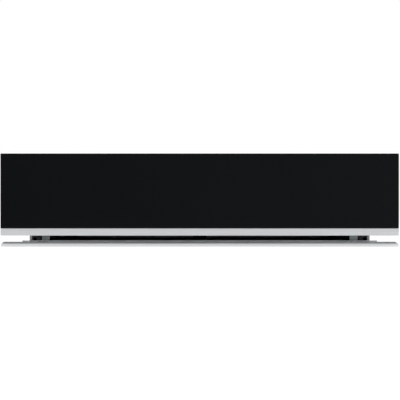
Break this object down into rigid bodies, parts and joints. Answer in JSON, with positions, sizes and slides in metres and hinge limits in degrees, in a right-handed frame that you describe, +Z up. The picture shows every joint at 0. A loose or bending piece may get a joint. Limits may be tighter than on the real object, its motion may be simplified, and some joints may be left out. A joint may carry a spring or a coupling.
{
  "type": "warming drawer",
  "caption": "Built-in warming drawer: black glass front over a satin strip, push-to-open tray on ball-bearing runners, fan-heated housing with base pan.",
  "frame": {"origin": "middle of the footprint, on the surface that the base pan stands on", "axes": "+X to the right seen from the front, +Y from the front to the back, +Z up"},
  "size_m": [0.595, 0.55, 0.139],
  "materials": {
    "black_glass": "black-printed toughened glass, polished",
    "satin_steel": "satin stainless strip and trim",
    "stainless": "brushed stainless sheet",
    "galvanised": "galvanised sheet, spangled",
    "zinc_plated": "bright zinc-plated steel",
    "black_paint": "black powder coat",
    "glass_wool": "bound glass wool",
    "black_rubber": "black silicone rubber",
    "bearing_steel": "ground bearing steel",
    "heater_sheath": "oxidised steel sheath",
    "laminated_iron": "varnished laminated iron",
    "copper_winding": "enamelled copper winding",
    "sintered_bronze": "oil-filled sintered bronze",
    "ivory_plastic": "moulded polyamide, natural",
    "black_plastic": "moulded polyamide, black",
    "white_plastic": "moulded acetal, white",
    "amber_lens": "amber polycarbonate lens",
    "light_alloy": "pressed aluminium",
    "cable_sheath": "black PVC sleeve",
    "spring_steel": "spring steel wire"
  },
  "bodies": {
    "housing": {"base_pan": "galvanised", "trim_plate": "satin_steel", "side_panel_left": "galvanised", "side_panel_right": "galvanised", "top_cover": "galvanised", "rear_panel": "galvanised", "front_frame": "black_paint", "cavity_ceiling": "stainless", "top_insulation": "glass_wool", "side_insulation": "glass_wool", "front_buffer": "black_rubber", "air_guide": "stainless", "fan_baffle": "galvanised", "ring_heater": "heater_sheath", "motor_stator": "laminated_iron", "motor_coil": "copper_winding", "motor_brackets": "zinc_plated", "motor_bearings": "sintered_bronze", "overheat_cutout": "ivory_plastic", "temperature_control": "ivory_plastic", "switch_body": "ivory_plastic", "pilot_lamp": "amber_lens", "terminal_block": "ivory_plastic", "cable_gland": "black_plastic", "wiring_harness": "cable_sheath", "runner_fixed_left": "zinc_plated", "runner_fixed_right": "zinc_plated", "runner_bracket_left": "galvanised", "runner_bracket_right": "galvanised", "latch_housing": "black_plastic", "housing_screws": "zinc_plated", "runner_rivets": "zinc_plated", "motor_screws": "zinc_plated", "latch_spring": "spring_steel"},
    "drawer": {"front_glass": "black_glass", "front_strip": "satin_steel", "front_carrier": "black_paint", "front_insulation": "glass_wool", "front_bracket_left": "galvanised", "front_bracket_right": "galvanised", "drawer_inner_front": "stainless", "drawer_tray": "stainless", "drawer_rear_wall": "stainless", "anti_slip_mat": "black_rubber", "latch_striker": "zinc_plated", "runner_inner_left": "zinc_plated", "runner_inner_right": "zinc_plated", "drawer_screws": "zinc_plated"},
    "middle_rail_left": {"runner_middle_left": "zinc_plated"},
    "middle_rail_right": {"runner_middle_right": "zinc_plated"},
    "outer_cage_left": {"cage_outer_left": "bearing_steel"},
    "outer_cage_right": {"cage_outer_right": "bearing_steel"},
    "inner_cage_left": {"cage_inner_left": "bearing_steel"},
    "inner_cage_right": {"cage_inner_right": "bearing_steel"},
    "fan": {"fan_wheel": "light_alloy", "motor_shaft": "bearing_steel", "motor_rotor": "laminated_iron"},
    "knob": {"temperature_knob": "black_plastic"},
    "button": {"power_button": "white_plastic"},
    "plunger": {"latch_plunger": "white_plastic"}
  },
  "joints": [
    {"name": "drawer_slide", "type": "slide", "parent": "housing", "child": "drawer", "axis": [0, -1, 0], "range_m": [-0.0025, 0.425]},
    {"name": "middle_rail_left_slide", "type": "slide", "parent": "housing", "child": "middle_rail_left", "axis": [0, -1, 0], "range_m": [-0.00125, 0.2125]},
    {"name": "middle_rail_right_slide", "type": "slide", "parent": "housing", "child": "middle_rail_right", "axis": [0, -1, 0], "range_m": [-0.00125, 0.2125]},
    {"name": "outer_cage_left_slide", "type": "slide", "parent": "housing", "child": "outer_cage_left", "axis": [0, -1, 0], "range_m": [-0.00063, 0.10625]},
    {"name": "outer_cage_right_slide", "type": "slide", "parent": "housing", "child": "outer_cage_right", "axis": [0, -1, 0], "range_m": [-0.00063, 0.10625]},
    {"name": "inner_cage_left_slide", "type": "slide", "parent": "housing", "child": "inner_cage_left", "axis": [0, -1, 0], "range_m": [-0.00187, 0.31875]},
    {"name": "inner_cage_right_slide", "type": "slide", "parent": "housing", "child": "inner_cage_right", "axis": [0, -1, 0], "range_m": [-0.00187, 0.31875]},
    {"name": "fan_spin", "type": "hinge", "parent": "housing", "child": "fan", "pos_m": [0, 0.2, 0.0601], "axis": [0, 1, 0], "continuous": true},
    {"name": "knob_turn", "type": "hinge", "parent": "housing", "child": "knob", "pos_m": [0.2425, -0.249, 0.104], "axis": [0, 1, 0], "range_deg": [0, 270]},
    {"name": "button_press", "type": "slide", "parent": "housing", "child": "button", "axis": [0, 1, 0], "range_m": [0, 0.0015], "stiffness_N_per_m": 500, "springref_m": -0.002},
    {"name": "plunger_press", "type": "slide", "parent": "housing", "child": "plunger", "axis": [0, 1, 0], "range_m": [0, 0.006], "stiffness_N_per_m": 300, "springref_m": -0.006, "deforming": ["latch_spring"]}
  ],
  "couplings": [
    {"joint": "middle_rail_left_slide", "follows": "drawer_slide", "ratio": 0.5},
    {"joint": "middle_rail_right_slide", "follows": "drawer_slide", "ratio": 0.5},
    {"joint": "outer_cage_left_slide", "follows": "drawer_slide", "ratio": 0.25},
    {"joint": "outer_cage_right_slide", "follows": "drawer_slide", "ratio": 0.25},
    {"joint": "inner_cage_left_slide", "follows": "drawer_slide", "ratio": 0.75},
    {"joint": "inner_cage_right_slide", "follows": "drawer_slide", "ratio": 0.75}
  ]
}
